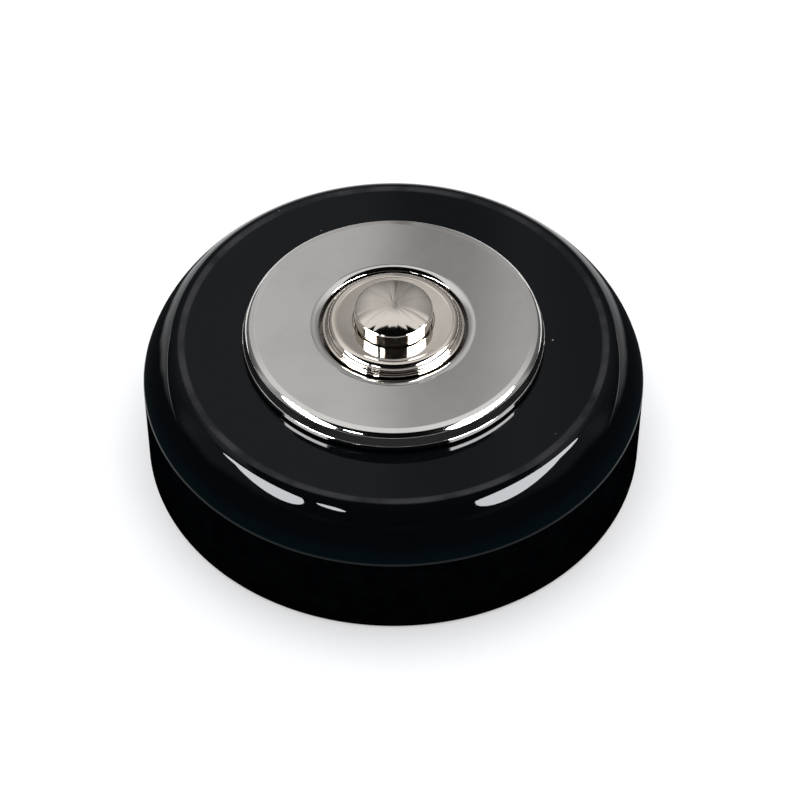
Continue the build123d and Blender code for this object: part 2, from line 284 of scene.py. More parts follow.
glaze, glaze_shader, place = finish("black_glaze", Specular_IOR_Level=0.155, IOR=1.5)
x, y, z, radius = place.from_axis()
drift = place.noise(140, 3.0)
speckle = place.noise(2600, 2.0)
level = z + (drift - 0.5) * (1.2 * mm)
# Dark teal is painted into the colour of the lower shoulder towards the rim, a painted reflection.
teal_reflection_mask = level.ease(21.0 * mm, 17.0 * mm)
dry = level.ease(23.4 * mm, 22.2 * mm) * z.ease(16.7 * mm, 16.95 * mm) * 0.98
glaze_colour = (teal_reflection_mask * (0.6 + 0.8 * speckle)).blend(glaze_black, painted_teal_reflection)
# A lighter grey band round the edge of the flat top, a painted sheen.
at_edge = (radius - 35.8 * mm).math("ABSOLUTE").ease(0.8 * mm, 0.3 * mm) * z.ease(24.6 * mm, 24.9 * mm)
glaze_colour = (at_edge * (0.15 + 0.6 * drift.ease(0.35, 0.65))).blend(glaze_colour, painted_edge_sheen)
grain = place.node("TexVoronoi", {"feature": "F1"}, {"Vector": place, "Scale": 260.0})
chance = Shade(glaze.node_tree, grain.socket.node.outputs[1]).split()[0]
dust = grain.ease(0.055, 0.03) * chance.math("GREATER_THAN", 0.72) * z.ease(24.9 * mm, 24.97 * mm)
glaze_skin = ((drift - 0.5) * (0.002 * mm) + (speckle - 0.5) * (0.00004 * mm)).bump()
(dust * 0.8).blend(glaze_colour, glaze_dust).feed(glaze_shader, "Base Color")
(0.02 + 0.012 * drift.ease(0.45, 0.75) + dust * 0.4).feed(glaze_shader, "Roughness")
glaze_skin.feed(glaze_shader, "Normal")
thin_glaze = place.node(
    "BsdfPrincipled",
    None,
    {"Base Color": glaze_colour, "Roughness": 0.3, "Specular IOR Level": 0.0, "Normal": glaze_skin},
)
thick_glaze = Shade(glaze.node_tree, glaze_shader.outputs[0])
whole_glaze = dry.node("MixShader", None, {0: dry, 1: thick_glaze, 2: thin_glaze})
whole_glaze.feed(glaze.node_tree.nodes["Material Output"], "Surface")

matt_side, side_shader, place = finish("matt_side", Specular_IOR_Level=0.0)
cloud = place.noise(260, 4.0, 0.6)
tooth = place.noise(3200, 3.0, 0.65)
cloud.ease(0.35, 0.7).blend(side_black, side_grey).feed(side_shader, "Base Color")
(0.5 + 0.3 * tooth).feed(side_shader, "Roughness")
((tooth - 0.5) * (0.02 * mm)).bump().feed(side_shader, "Normal")

base_shape = turned(
    [
        (bore_radius, base_height, 0),
        (top_radius, base_height, 2.5 * mm),
        (*shoulder_corner, 14.6 * mm),
        (base_radius, rim_height, 0.45 * mm),
        (foot_radius, 0, 0.8 * mm),
        (cavity_radius, 0, 0.5 * mm),
        (cavity_radius, ceiling_height, 2.0 * mm),
        (bore_radius, ceiling_height, 0),
    ],
    steps=384,
    fineness=36,
)
for face in base_shape.faces:
    middle = face.calc_center_median()
    within = Vector(middle.xy).length < cavity_radius and middle.z < base_height - clear
    if within or middle.z < rim_height - 0.05 * mm:
        face.material_index = 1
pillar_shapes = [
    moved(
        turned(
            [
                (0, 0, 0),
                (pillar_radius, 0, 0.4 * mm),
                (pillar_radius, ceiling_height + 0.5 * mm, 0),
                (0, ceiling_height + 0.5 * mm, 0),
            ],
            steps=64,
        ),
        side * pillar_offset,
        0,
    )
    for side in (-1, 1)
]
for shape in pillar_shapes:
    for face in shape.faces:
        face.material_index = 1
base = piece("glazed_base", [base_shape], glaze, matt_side)
carve(base, pillar_shapes, "UNION")


def screw_hole(x, y, hole_radius, head_radius, low, high):
    """A hole with a countersink at its upper end."""
    return moved(
        turned(
            [
                (0, low - clear, 0),
                (hole_radius, low - clear, 0),
                (hole_radius, high - head_radius + hole_radius, 0),
                (head_radius, high, 0),
                (head_radius, high + clear, 0),
                (0, high + clear, 0),
            ],
            steps=64,
        ),
        x,
        y,
    )


carve(
    base,
    [hexagon(pocket_flats, ceiling_height - clear, ceiling_height + pocket_depth)]
    + [
        screw_hole(side * pillar_offset, 0, wall_hole_radius, wall_head_radius, 0, base_height)
        for side in (-1, 1)
    ]
    + [
        screw_hole(
            0,
            end * bar_screw_offset,
            bar_screw_hole_radius,
            bar_screw_head_radius,
            ceiling_height,
            base_height,
        )
        for end in (-1, 1)
    ],
)
fitted(base, "base")

# Gasket: a flat ring cut from black rubber sheet, pinched between the base and the rim of the plate.
# It shows only as the dark line under the plate's edge.
gasket_inner_radius = 23.2 * mm
gasket_radius = 24.7 * mm
gasket_head = 25.6 * mm
rubber_dark = (0.006, 0.006, 0.006, 1)
rubber_grey = (0.016, 0.016, 0.015, 1)
gasket_rubber, rubber_shader, place = finish("gasket_rubber", Specular_IOR_Level=0.3)
bloom = place.noise(900, 3.0)
bloom.ease(0.4, 0.8).blend(rubber_dark, rubber_grey).feed(rubber_shader, "Base Color")
(0.6 + 0.25 * bloom).feed(rubber_shader, "Roughness")
((bloom - 0.5) * (0.01 * mm)).bump().feed(rubber_shader, "Normal")
gasket = piece(
    "rubber_gasket",
    [
        turned(
            [
                (gasket_inner_radius, base_height, 0.05 * mm),
                (gasket_radius, base_height, 0.05 * mm),
                (gasket_radius, gasket_head, 0.05 * mm),
                (gasket_inner_radius, gasket_head, 0.05 * mm),
            ],
            steps=192,
            fineness=3,
        )
    ],
    gasket_rubber,
)
fitted(gasket, "plate_gasket")

# Cover plate: spun and turned brass, nickelled and buffed. From the flat it falls in a shallow bevel and a
# steep one to a slightly leaning wall, and steps out to a thin foot. At its hole the edge is turned down.
plate_radius = 25.45 * mm
plate_level = 28.85 * mm
seat_level = 27.35 * mm
seat_radius = 12.55 * mm
boss_radius = 14.35 * mm
edge_inner_radius = 23.35 * mm
foot_level = 26.5 * mm
crease_radius = 13.9 * mm
plate_light = (0.64, 0.628, 0.612, 1)
plate_dull = (0.60, 0.587, 0.57, 1)
joint_darkening = (0.035, 0.023, 0.015, 1)


def metal(name, light, dull, gloss):
    """Polished metal with some tarnish and rubbing left on it."""
    material, shader, place = finish(name, Metallic=1.0)
    tarnish = place.noise(110, 4.0, 0.55)
    wipe = place.noise(420, 3.0, 0.6)
    tarnish.ease(0.38, 0.72).blend(light, dull).feed(shader, "Base Color")
    (gloss + 0.015 * wipe.ease(0.45, 0.8)).feed(shader, "Roughness")
    return material, shader, place


def lathe_rings(place, depth):
    """The fine rings that turning leaves round the axis."""
    x, y, z, radius = place.from_axis()
    return place.node("CombineXYZ", None, {"X": radius * 9000.0, "Y": z * 9000.0}).noise(1.0, 2.0) * depth


def lay_over(shader, mask, colour):
    """Covers the colour that the shader has, where the mask is 1."""
    under = Shade(mask.tree, shader.inputs["Base Color"].links[0].from_socket)
    mask.blend(under, colour).feed(shader, "Base Color")


def darken_joints(shader, place, mask):
    """Darker patches, where the mask is 1."""
    patches = place.noise(9000, 3.0).ease(0.3, 0.6)
    lay_over(shader, mask * (0.45 + 0.55 * patches), joint_darkening)


plate_nickel, plate_shader, place = metal("plate_nickel", plate_light, plate_dull, 0.05)
x, y, z, radius = place.from_axis()
# The plate is darker in a ring at the edge of its hole, next to the collar.
at_seat = radius.ease(seat_radius + 0.2 * mm, seat_radius + 0.07 * mm) * z.ease(28.5 * mm, 28.35 * mm)
darken_joints(plate_shader, place, at_seat)
lathe_rings(place, 0.00002 * mm).bump().feed(plate_shader, "Normal")
plate = piece(
    "nickel_plate",
    [
        turned(
            [
                (bore_radius, base_height, 0),
                (boss_radius, base_height, 0.2 * mm),
                (boss_radius, seat_level, 0),
                (edge_inner_radius, seat_level, 0.4 * mm),
                (edge_inner_radius, gasket_head, 0.05 * mm),
                (plate_radius, gasket_head, 0.06 * mm),
                (plate_radius, foot_level, 0.08 * mm),
                (25.36 * mm, foot_level, 0.04 * mm),
                (24.95 * mm, 28.2 * mm, 0.1 * mm),
                (24.655 * mm, 28.505 * mm, 1.5 * mm),
                (24.3 * mm, 28.745 * mm, 0.04 * mm),
                (23.4 * mm, plate_level, 2.0 * mm),
                (crease_radius + 0.05 * mm, plate_level, 0),
                (crease_radius, plate_level - 0.02 * mm, 0),
                (crease_radius - 0.05 * mm, plate_level, 0),
                (13.23 * mm, plate_level, 3.5 * mm),
                (seat_radius, 28.61 * mm, 0.15 * mm),
                (seat_radius, seat_level, 0),
                (bore_radius, seat_level, 0),
            ],
            steps=384,
        )
    ],
    plate_nickel,
)
fitted(plate, "cover_plate")

# Collar: turned brass, nickelled. Its flange drops into the plate's seat, a stepped neck with a crowned rim
# stands on it, and a slightly dished land runs in to the hole of the push. A threaded barrel goes down
# through plate and base.
collar_light = (0.75, 0.695, 0.63, 1)
collar_dull = (0.67, 0.615, 0.55, 1)
land_hole_radius = 6.8 * mm
neck_radius = 11.5 * mm
rim_radius = 11.2 * mm
neck_height = 28.7 * mm
rim_level = 30.15 * mm
flange_radius = 11.95 * mm
scribe_radius = 11.7 * mm
barrel_radius = 8.9 * mm
barrel_bore = 7.65 * mm
barrel_foot = 12.4 * mm
land_under = 28.91 * mm
thread_pitch = 1.0 * mm
thread_depth = 0.22 * mm
collar_nickel, collar_shader, place = metal("collar_nickel", collar_light, collar_dull, 0.06)
x, y, z, radius = place.from_axis()
turn = z / thread_pitch - y.math("ARCTAN2", x) / math.tau
thread = (turn.math("FRACT") - 0.5).math("ABSOLUTE") * (2 * thread_depth)
on_barrel = z.ease(24.0 * mm, 23.5 * mm) * radius.ease(8.6 * mm, 8.8 * mm)
(lathe_rings(place, 0.00003 * mm) + thread * on_barrel).bump().feed(collar_shader, "Normal")
# The collar is darker at the edge of its land hole, in the corner at the foot of its neck and on the flange's
# edge and outer wall.
at_hole = radius.ease(land_hole_radius + 0.3 * mm, land_hole_radius + 0.05 * mm) * z.ease(29.0 * mm, 29.5 * mm)
near_neck = (radius - neck_radius).math("ABSOLUTE").ease(0.12 * mm, 0.02 * mm)
at_neck = near_neck * (z - neck_height).math("ABSOLUTE").ease(0.12 * mm, 0.04 * mm)
in_groove = radius.ease(11.8 * mm, 11.93 * mm) * z.ease(neck_height - 0.08 * mm, neck_height - 0.2 * mm)
darken_joints(collar_shader, place, (at_hole * 0.7 + at_neck * 0.8 + in_groove).math("MINIMUM", 1.0))
collar = piece(
    "nickel_collar",
    [
        turned(
            [
                (barrel_bore, land_under, 0),
                (barrel_bore, barrel_foot, 0.1 * mm),
                (barrel_radius - 0.5 * mm, barrel_foot, 0.08 * mm),
                (barrel_radius, barrel_foot + 0.5 * mm, 0.08 * mm),
                (barrel_radius, seat_level, 0),
                (flange_radius, seat_level, 0.05 * mm),
                (flange_radius, neck_height, 0.15 * mm),
                (scribe_radius + 0.04 * mm, neck_height, 0),
                (scribe_radius, neck_height - 0.03 * mm, 0),
                (scribe_radius - 0.04 * mm, neck_height, 0),
                (neck_radius, neck_height, 0.04 * mm),
                (neck_radius, 29.0 * mm, 0.05 * mm),
                (rim_radius, 29.14 * mm, 0.03 * mm),
                (rim_radius, 30.025 * mm, 0.93 * mm),
                (10.1 * mm, rim_level, 3.5 * mm),
                (9.62 * mm, rim_level, 0),
                (9.58 * mm, 30.135 * mm, 0),
                (land_hole_radius, 30.07 * mm, 0.06 * mm),
                (land_hole_radius, land_under, 0),
            ],
            steps=320,
        )
    ],
    collar_nickel,
)
fitted(collar, "collar")

# Push: turned brass, nickelled, on a plain stem. Its head is a slightly domed disc, relieved at its foot and
# buffed from the middle outwards so that it shows soft rays. A flange under the collar's land keeps it in.
push_light = (0.68, 0.635, 0.58, 1)
push_dull = (0.62, 0.575, 0.52, 1)
fold_count = 7
fold_slope = 0.003
first_fold = math.radians(20)
fold_curve = 0.06 / mm
head_radius = 6.6 * mm
relief_radius = 6.38 * mm
push_top = 33.53 * mm
flange_foot = 27.51 * mm
stem_radius = 1.75 * mm
stem_foot = 11.0 * mm
stem_head = 24.91 * mm
push_nickel, push_shader, place = metal("push_nickel", push_light, push_dull, 0.05)
x, y, z, radius = place.from_axis()
spoke = place.node("CombineXYZ", None, {"X": x / radius, "Y": y / radius})
bearing = y.math("ARCTAN2", x) - first_fold + (spoke.noise(1.3, 2.0) - 0.5) * 0.5 + x * fold_curve
folds = (bearing * fold_count).math("SINE").math("ABSOLUTE")
on_top = z.ease(32.6 * mm, 32.8 * mm) * radius.ease(0.3 * mm, 1.5 * mm)
(lathe_rings(place, 0.00002 * mm) + folds * radius * on_top * fold_slope).bump().feed(push_shader, "Normal")
push = piece(
    "nickel_push",
    [
        turned(
            [
                (0, stem_foot, 0),
                (stem_radius, stem_foot, 0.15 * mm),
                (stem_radius, stem_head, 0),
                (4.2 * mm, stem_head, 0.2 * mm),
                (4.2 * mm, flange_foot, 0),
                (7.57 * mm, flange_foot, 0.1 * mm),
                (7.57 * mm, land_under, 0.1 * mm),
                (relief_radius, land_under, 0),
                (relief_radius, 30.2 * mm, 0.02 * mm),
                (head_radius, 30.27 * mm, 0.04 * mm),
                (head_radius, 32.83 * mm, 0.3 * mm),
                (3.334 * mm, push_top, 27.0 * mm),
                (0, push_top, 0),
            ],
            steps=256,
            fineness=16,
        )
    ],
    push_nickel,
)
fitted(push, "push_button", "push")

# Return spring: round spring wire wound right-handed, with a close coil at each end. It stands on the
# bush and lifts the push by its flange.
wire_radius = 0.4 * mm
coil_radius = 5.5 * mm
spring_foot = 16.8 * mm
spring_head = flange_foot
close_rise = 0.95 * mm
steps_per_turn = 64
wire_light = (0.52, 0.52, 0.53, 1)
wire_dull = (0.40, 0.40, 0.41, 1)
spring_steel, spring_shader, place = metal("spring_steel", wire_light, wire_dull, 0.2)
drawn = place.noise(2400, 3.0, 0.6)
((drawn - 0.5) * (0.004 * mm)).bump().feed(spring_shader, "Normal")
wire = bmesh.new()
bmesh.ops.create_circle(
    wire,
    segments=16,
    radius=wire_radius,
    matrix=Matrix.Translation((coil_radius, 0, spring_foot + wire_radius))
    @ Matrix.Rotation(math.pi / 2, 4, "X"),
)
front = wire.verts[:] + wire.edges[:]
open_rise = spring_head - spring_foot - 2 * wire_radius - 2 * close_rise
for turns, rise in ((1, close_rise), (4, open_rise), (1, close_rise)):
    wound = bmesh.ops.spin(
        wire,
        geom=front,
        cent=(0, 0, 0),
        axis=(0, 0, 1),
        dvec=(0, 0, rise / (steps_per_turn * turns)),
        angle=math.tau * turns,
        steps=steps_per_turn * turns,
    )
    front = wound["geom_last"]
bmesh.ops.holes_fill(wire, edges=wire.edges, sides=0)
bmesh.ops.recalc_face_normals(wire, faces=wire.faces)
spring = piece("coil_spring", [wire], spring_steel)
fitted(spring, "return_spring")
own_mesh(spring)

# Guide bush: turned brass, screwed into the lower end of the barrel with a broad screwdriver.
# It carries the spring and guides the stem.
bush_foot = 12.8 * mm
bush_radius = 7.62 * mm
bush_hole_radius = 1.8 * mm
bush_slot_half_width = 0.8 * mm
bush_slot_depth = 1.0 * mm
brass_light = (0.70, 0.47, 0.17, 1)
brass_dull = (0.42, 0.26, 0.09, 1)
brass_brown = (0.20, 0.12, 0.05, 1)


def block(low, high):
    """A box between two corners."""
    low, high = Vector(low), Vector(high)
    shape = bmesh.new()
    fit = Matrix.Translation((low + high) / 2) @ Matrix.Diagonal((*(high - low), 1))
    bmesh.ops.create_cube(shape, size=1.0, matrix=fit)
    return shape


brass, brass_shader, place = metal("turned_brass", brass_light, brass_dull, 0.16)
patina = place.noise(700, 4.0, 0.6)
lay_over(brass_shader, patina.ease(0.5, 0.8) * 0.6, brass_brown)
((patina - 0.5) * (0.006 * mm)).bump().feed(brass_shader, "Normal")
bush = piece(
    "guide_bush",
    [
        turned(
            [
                (bush_hole_radius, bush_foot, 0.2 * mm),
                (bush_radius, bush_foot, 0.3 * mm),
                (bush_radius, spring_foot, 0.2 * mm),
                (bush_hole_radius, spring_foot, 0.2 * mm),
            ],
            steps=128,
        )
    ],
    brass,
)
carve(
    bush,
    [
        block(
            (-9 * mm, -bush_slot_half_width, bush_foot - clear),
            (9 * mm, bush_slot_half_width, bush_foot + bush_slot_depth),
        )
    ],
)
fitted(bush, "guide_bush")

# Stem tip: a brown moulded cap pushed on the end of the stem. It presses on the leaf and keeps the push
# clear of the bell's current.
tip_foot = 9.8 * mm
tip_head = 12.4 * mm
tip_radius = 2.9 * mm
tip_hole_radius = 1.78 * mm
moulding_dark = (0.030, 0.013, 0.008, 1)
moulding_brown = (0.085, 0.038, 0.022, 1)
moulding_fleck = (0.12, 0.065, 0.04, 1)
insulator, insulator_shader, place = finish("moulded_insulator", Specular_IOR_Level=0.45)
mottle = place.noise(380, 4.0, 0.6)
flour = place.noise(2600, 3.0, 0.6)
moulding = mottle.ease(0.3, 0.75).blend(moulding_dark, moulding_brown)
flour.ease(0.62, 0.75).blend(moulding, moulding_fleck).feed(insulator_shader, "Base Color")
(0.28 + 0.2 * mottle).feed(insulator_shader, "Roughness")
((flour - 0.5) * (0.006 * mm)).bump().feed(insulator_shader, "Normal")
stem_tip = piece(
    "stem_tip",
    [
        turned(
            [
                (0, tip_foot, 0),
                (tip_radius, tip_foot, 0.8 * mm),
                (tip_radius, tip_head, 0.2 * mm),
                (tip_hole_radius, tip_head, 0.1 * mm),
                (tip_hole_radius, stem_foot, 0),
                (0, stem_foot, 0),
            ],
            steps=96,
        )
    ],
    insulator,
)
fitted(stem_tip, "stem_tip", "push")

# Nut: a thin brass hexagon, cut from bar and chamfered on its outer side. It sits in the pocket of the base,
# takes the thread of the collar's barrel and draws collar, plate and base together.
nut_flats = 24.0 * mm
nut_foot = 13.0 * mm
nut_head = 17.0 * mm
nut_thread_radius = 8.93 * mm
nut_mouth_radius = 10.33 * mm
nut = piece("hexagon_nut", [hexagon(nut_flats, nut_foot, nut_head)], brass)
carve(
    nut,
    [
        turned(
            [
                (0, nut_foot, 0),
                (nut_flats / 2 - 0.1 * mm, nut_foot, 0.1 * mm),
                (nut_flats / 2 + 2.5 * mm, nut_foot + 1.5 * mm, 0),
                (nut_flats / 2 + 2.5 * mm, nut_head + clear, 0),
                (0, nut_head + clear, 0),
            ],
            steps=192,
        )
    ],
    "INTERSECT",
)
carve(
    nut,
    [
        turned(
            [
                (0, nut_foot - clear, 0),
                (nut_mouth_radius, nut_foot - clear, 0),
                (nut_thread_radius, nut_foot + 0.4 * mm, 0),
                (nut_thread_radius, nut_head - 0.4 * mm, 0),
                (nut_mouth_radius, nut_head + clear, 0),
                (0, nut_head + clear, 0),
            ],
            steps=128,
        )
    ],
)
fitted(nut, "captive_nut")

# Contact bar: a brown moulding hung from the ceiling of the base on two legs, with soft corners, which
# carries the leaf, the strip and the terminals. Two screws from the front hold its legs.
bar_half_width = 7.0 * mm
bar_half_length = 24.5 * mm
bar_foot = 3.0 * mm
bar_head = 6.2 * mm
leg_inner = 15.5 * mm
terminal_offset = 10.8 * mm
post_radius = 2.4 * mm
post_play = 0.03 * mm
tapped_radius = 1.53 * mm


def drawn_across(shape, fresh, distance):
    """Takes the corners that an extrusion made across to the other side."""
    corners = [part for part in fresh if isinstance(part, bmesh.types.BMVert)]
    bmesh.ops.translate(shape, verts=corners, vec=(distance, 0, 0))
    bmesh.ops.recalc_face_normals(shape, faces=shape.faces)


def soften(shape, upright_round, other_round):
    """Rounds the upright edges of a shape and then the others, each by a radius and a number of segments."""
    for upright, (radius, segments) in ((True, upright_round), (False, other_round)):
        chosen = [
            edge
            for edge in shape.edges
            if edge.calc_face_angle(0) > math.radians(40)
            and (abs((edge.verts[0].co - edge.verts[1].co).normalized().z) > 0.9) == upright
        ]
        bmesh.ops.bevel(
            shape, geom=chosen, offset=radius, segments=segments, profile=0.5, affect="EDGES", material=-1
        )


bar_shape = bmesh.new()
bar_side = [
    bar_shape.verts.new((-bar_half_width, y, z))
    for y, z in (
        (-bar_half_length, bar_foot),
        (bar_half_length, bar_foot),
        (bar_half_length, ceiling_height),
        (leg_inner, ceiling_height),
        (leg_inner, bar_head),
        (-leg_inner, bar_head),
        (-leg_inner, ceiling_height),
        (-bar_half_length, ceiling_height),
    )
]
far_side = bmesh.ops.extrude_face_region(bar_shape, geom=[bar_shape.faces.new(bar_side)])["geom"]
drawn_across(bar_shape, far_side, 2 * bar_half_width)
soften(bar_shape, (1.0 * mm, 6), (0.3 * mm, 3))
contact_bar = piece("contact_bar", [bar_shape], insulator)


def pin(y, radius, low, high):
    """A plain round cutter on the bar's middle line."""
    return moved(turned([(0, low, 0), (radius, low, 0), (radius, high, 0), (0, high, 0)], steps=48), 0, y)


carve(
    contact_bar,
    [pin(end * terminal_offset, post_radius + post_play, bar_foot - clear, bar_head + clear) for end in (-1, 1)]
    + [pin(end * bar_screw_offset, tapped_radius, 7.8 * mm, ceiling_height + clear) for end in (-1, 1)],
)
fitted(contact_bar, "contact_block")

# Bar screws: two slotted countersunk machine screws of zinc-plated steel. They are put in from the front
# under the plate, through the base and into the legs of the bar.
bar_screw_radius = 1.5 * mm
bar_screw_foot = 8.0 * mm
bar_screw_head = 24.9 * mm
slot_half_width = 0.4 * mm
zinc_light = (0.50, 0.50, 0.49, 1)
zinc_dull = (0.33, 0.32, 0.31, 1)


def pair(outline, offset, steps):
    """Two like turned shapes, one towards each end of the bar."""
    return [moved(turned(outline, steps=steps), 0, end * offset) for end in (-1, 1)]


def slots(offset, low, high):
    """Cutters for the driver slots of two like screws."""
    return [
        block(
            (-4 * mm, end * offset - slot_half_width, low),
            (4 * mm, end * offset + slot_half_width, high),
        )
        for end in (-1, 1)
    ]


screw_steel, steel_shader, place = metal("screw_steel", zinc_light, zinc_dull, 0.24)
fleck = place.noise(1800, 3.0, 0.6)
((fleck - 0.5) * (0.006 * mm)).bump().feed(steel_shader, "Normal")
bar_screws = piece(
    "bar_screws",
    pair(
        [
            (0, bar_screw_foot, 0),
            (bar_screw_radius, bar_screw_foot, 0.3 * mm),
            (bar_screw_radius, bar_screw_head - 1.2 * mm, 0),
            (bar_screw_radius + 1.2 * mm, bar_screw_head, 0.05 * mm),
            (0, bar_screw_head, 0),
        ],
        bar_screw_offset,
        steps=64,
    ),
    screw_steel,
)
carve(bar_screws, slots(bar_screw_offset, 24.1 * mm, 26 * mm))
fitted(bar_screws, "block_screws")

# Leaf: a strip of springy bronze, riveted down at one end and cranked up to run under the stem tip.
# Pressing the push bends it down until its silver meets the silver of the strip.
leaf_half_width = 3.0 * mm
leaf_thickness = 0.3 * mm
leaf_level = 9.45 * mm
silver_offset = 2.6 * mm
bronze_light = (0.62, 0.38, 0.19, 1)
bronze_dull = (0.40, 0.22, 0.10, 1)
bronze, bronze_shader, place = metal("bronze_leaf", bronze_light, bronze_dull, 0.17)
x, y, z = place.split()
rolled = place.node("CombineXYZ", None, {"X": x * 5000.0, "Y": y * 120.0, "Z": z * 120.0}).noise(1.0, 3.0)
((rolled - 0.5) * (0.003 * mm)).bump().feed(bronze_shader, "Normal")
leaf_shape = bmesh.new()
bends = [
    leaf_shape.verts.new((-leaf_half_width, y, z))
    for y, z in (
        (-15.2 * mm, bar_head),
        (-6.8 * mm, bar_head),
        (-3.8 * mm, leaf_level),
        (4.5 * mm, leaf_level),
    )
]
for near, far in zip(bends, bends[1:]):
    leaf_shape.edges.new((near, far))
for corner in bends[1:3]:
    bmesh.ops.bevel(
        leaf_shape, geom=[corner], offset=0.5 * mm, segments=6, profile=0.5, affect="VERTICES", material=-1
    )
long_edges = [edge for edge in leaf_shape.edges if edge.calc_length() > 2 * mm]
bmesh.ops.subdivide_edges(leaf_shape, edges=long_edges, cuts=12)
side_edges = bmesh.ops.extrude_edge_only(leaf_shape, edges=leaf_shape.edges[:])["geom"]
drawn_across(leaf_shape, side_edges, 2 * leaf_half_width)
if leaf_shape.faces[:][0].normal.z > 0:
    bmesh.ops.reverse_faces(leaf_shape, faces=leaf_shape.faces)
bmesh.ops.solidify(leaf_shape, geom=leaf_shape.faces[:], thickness=leaf_thickness)
bmesh.ops.recalc_face_normals(leaf_shape, faces=leaf_shape.faces)
leaf = piece("bronze_leaf", [leaf_shape], bronze)
carve(
    leaf,
    [
        pin(-terminal_offset, post_radius + post_play, bar_head - clear, bar_head + clear),
        pin(silver_offset, 0.6 * mm, 9.0 * mm, 10.2 * mm),
    ],
)
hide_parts("moving_contact")
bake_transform(leaf)

# Silver tips: two small buttons of fine silver, domed where they meet, one riveted to the leaf and
# one to the strip.
silver_radius = 1.2 * mm
shank_radius = 0.57 * mm
strip_head = 6.7 * mm
silver_light = (0.82, 0.80, 0.76, 1)
silver_dull = (0.55, 0.52, 0.47, 1)
silver, silver_shader, place = metal("silver", silver_light, silver_dull, 0.16)
sulphide = place.noise(1500, 3.0, 0.6)
((sulphide - 0.5) * (0.004 * mm)).bump().feed(silver_shader, "Normal")
leaf_silver = piece(
    "leaf_silver",
    [
        moved(
            turned(
                [
                    (0, 8.85 * mm, 0),
                    (0.7 * mm, 8.85 * mm, 1.2 * mm),
                    (silver_radius, 9.05 * mm, 0.1 * mm),
                    (silver_radius, leaf_level, 0),
                    (shank_radius, leaf_level, 0),
                    (shank_radius, leaf_level + leaf_thickness, 0.1 * mm),
                    (0, leaf_level + leaf_thickness, 0),
                ],
                steps=64,
            ),
            0,
            silver_offset,
        )
    ],
    silver,
)
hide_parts("moving_tip")
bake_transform(leaf_silver)
strip_silver = piece(
    "strip_silver",
    [
        moved(
            turned(
                [
                    (0, strip_head, 0),
                    (silver_radius, strip_head, 0),
                    (silver_radius, 7.1 * mm, 0.1 * mm),
                    (0.7 * mm, 7.3 * mm, 1.2 * mm),
                    (0, 7.3 * mm, 0),
                ],
                steps=64,
            ),
            0,
            silver_offset,
        )
    ],
    silver,
)
fitted(strip_silver, "fixed_tip")

# Strip: a stamped piece of brass, riveted down by the other terminal post. It brings the current from that
# terminal to the lower silver tip.
strip_half_width = 3.0 * mm
strip_shape = block((-strip_half_width, 1.4 * mm, bar_head), (strip_half_width, 15.2 * mm, strip_head))
soften(strip_shape, (0.8 * mm, 5), (0.08 * mm, 2))
strip = piece("brass_strip", [strip_shape], brass)
carve(strip, [pin(terminal_offset, post_radius + post_play, 5 * mm, 8 * mm)])
fitted(strip, "fixed_contact")

# Terminal posts: turned brass, pushed through the bar, with heads riveted over the leaf and the strip.
# From behind they are tapped for the terminal screws.
post_foot = 2.7 * mm
post_head_radius = 3.4 * mm
post_head_height = 0.9 * mm
post_heads = ((-1, bar_head + leaf_thickness), (1, strip_head))
posts = piece(
    "terminal_posts",
    [
        moved(
            turned(
                [
                    (0, 6.7 * mm, 0),
                    (tapped_radius, 6.7 * mm, 0),
                    (tapped_radius, post_foot, 0.1 * mm),
                    (post_radius, post_foot, 0.2 * mm),
                    (post_radius, head_foot, 0),
                    (post_head_radius, head_foot, 0.1 * mm),
                    (post_head_radius, head_foot + post_head_height, 0.45 * mm),
                    (0, head_foot + post_head_height, 0),
                ],
                steps=80,
            ),
            0,
            end * terminal_offset,
        )
        for end, head_foot in post_heads
    ],
    brass,
)
fitted(posts, "terminal_posts")

# Terminal washers: two stamped brass rings, loose under the heads of the terminal screws. They spread the
# screws over the bared wire.
washer_foot = 2.2 * mm
washer_radius = 3.6 * mm
washer_hole_radius = 1.62 * mm
washers = piece(
    "terminal_washers",
    pair(
        [
            (washer_hole_radius, washer_foot, 0.06 * mm),
            (washer_radius, washer_foot, 0.12 * mm),
            (washer_radius, post_foot, 0.06 * mm),
            (washer_hole_radius, post_foot, 0.06 * mm),
        ],
        terminal_offset,
        steps=80,
    ),
    brass,
)
fitted(washers, "terminal_washers")

# Terminal screws: two slotted brass screws with rounded heads, turned towards the wall. They go up into the
# tapped posts and hold the bell wires under their washers.
terminal_screw_foot = 0.6 * mm
terminal_screw_end = 6.58 * mm
terminal_head_radius = 3.0 * mm
terminal_shank_radius = 1.5 * mm
terminal_screws = piece(
    "terminal_screws",
    pair(
        [
            (0, terminal_screw_foot, 0),
            (terminal_head_radius, terminal_screw_foot, 0.7 * mm),
            (terminal_head_radius, washer_foot, 0.08 * mm),
            (terminal_shank_radius, washer_foot, 0),
            (terminal_shank_radius, terminal_screw_end, 0.3 * mm),
            (0, terminal_screw_end, 0),
        ],
        terminal_offset,
        steps=80,
    ),
    brass,
)
carve(terminal_screws, slots(terminal_offset, -0.4 * mm, 1.4 * mm))
fitted(terminal_screws, "terminal_screws")

